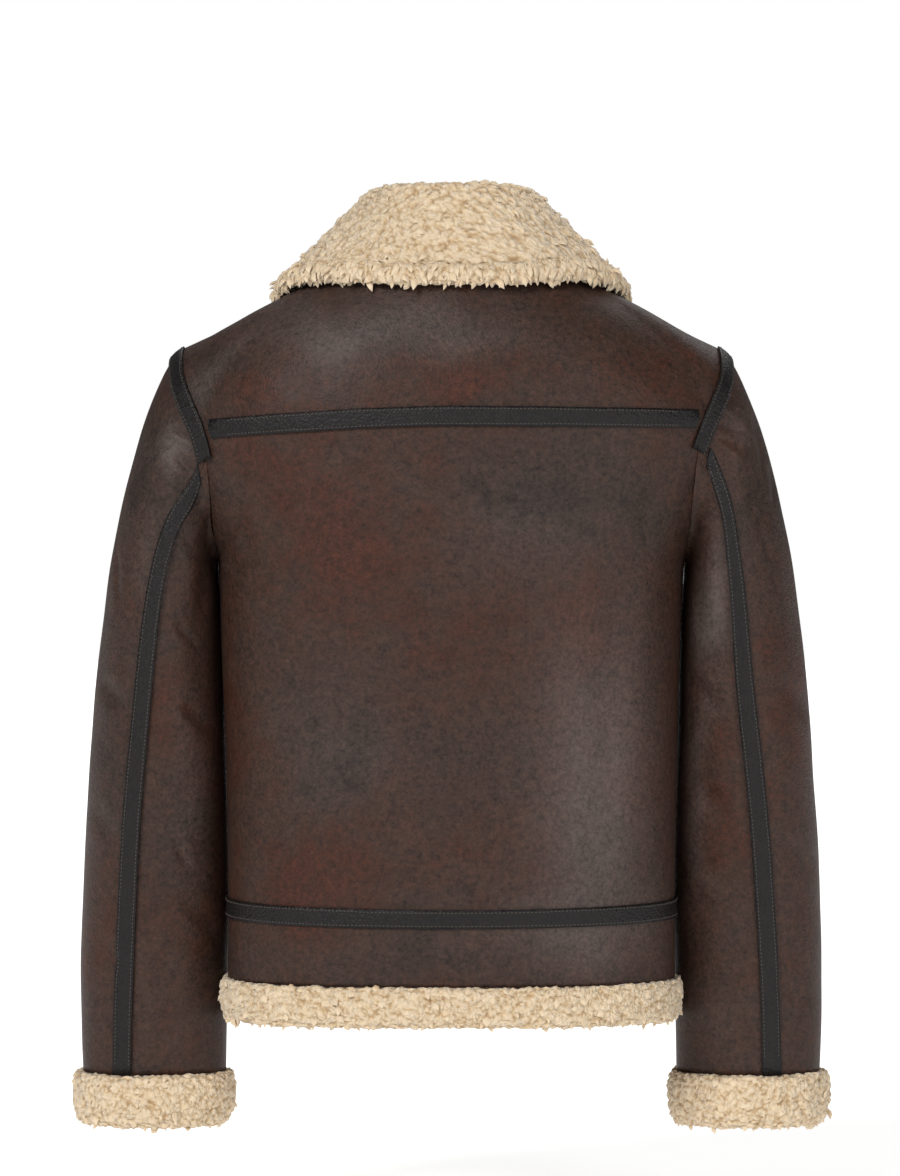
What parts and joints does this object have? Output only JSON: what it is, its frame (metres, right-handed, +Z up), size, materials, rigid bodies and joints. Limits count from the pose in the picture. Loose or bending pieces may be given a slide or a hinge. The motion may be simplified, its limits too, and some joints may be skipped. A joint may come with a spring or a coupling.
{
  "type": "aviator jacket",
  "caption": "Sheepskin flying jacket filled out as worn: brown leather skins with black tapes over the seams, fleece collar, cuffs and hem, and a closed zip in front.",
  "frame": {"origin": "between the shoulders: on the middle plane, at the height of the shoulders' tops, where the jacket hangs on the wearer's neck and shoulders", "axes": "+Z up, -Y to the wearer's back, which is the side in the picture, +X to the wearer's right, which is to the right in the picture"},
  "size_m": [0.6696, 0.2697, 0.8185],
  "materials": {
    "brown_leather": "mottled dark brown skin side with red-brown patches and a soft sheen",
    "black_tape": "black pebbled leather tape with a stitch row near both edges",
    "cream_fleece": "cream curly wool of the sheepskin",
    "zip_cloth": "black woven zip tape",
    "zip_metal": "aged brass, satin"
  },
  "bodies": {
    "jacket": {"back_yoke": "brown_leather", "back_panel": "brown_leather", "back_waistband": "brown_leather", "front_left": "brown_leather", "front_waistband_left": "brown_leather", "sleeve_outer_left": "brown_leather", "sleeve_under_left": "brown_leather", "front_right": "brown_leather", "front_waistband_right": "brown_leather", "sleeve_outer_right": "brown_leather", "sleeve_under_right": "brown_leather", "yoke_tape": "black_tape", "waist_tape_back": "black_tape", "waist_tape_left": "black_tape", "armhole_tape_left": "black_tape", "sleeve_tape_left": "black_tape", "waist_tape_right": "black_tape", "armhole_tape_right": "black_tape", "sleeve_tape_right": "black_tape", "hem_wool_back": "cream_fleece", "collar": "cream_fleece", "collar_edge": "cream_fleece", "hem_wool_left": "cream_fleece", "cuff_left": "cream_fleece", "hem_wool_right": "cream_fleece", "cuff_right": "cream_fleece", "zip_tape_left": "zip_cloth", "zip_tape_right": "zip_cloth", "zip_chain": "zip_metal", "zip_slider": "zip_metal"},
    "pull": {"zip_pull": "zip_metal"}
  },
  "joints": [
    {"name": "zip_pull_hinge", "type": "hinge", "parent": "jacket", "child": "pull", "pos_m": [0, 0.11202, -0.05374], "axis": [1, 0, 0], "range_deg": [0, 150]}
  ]
}
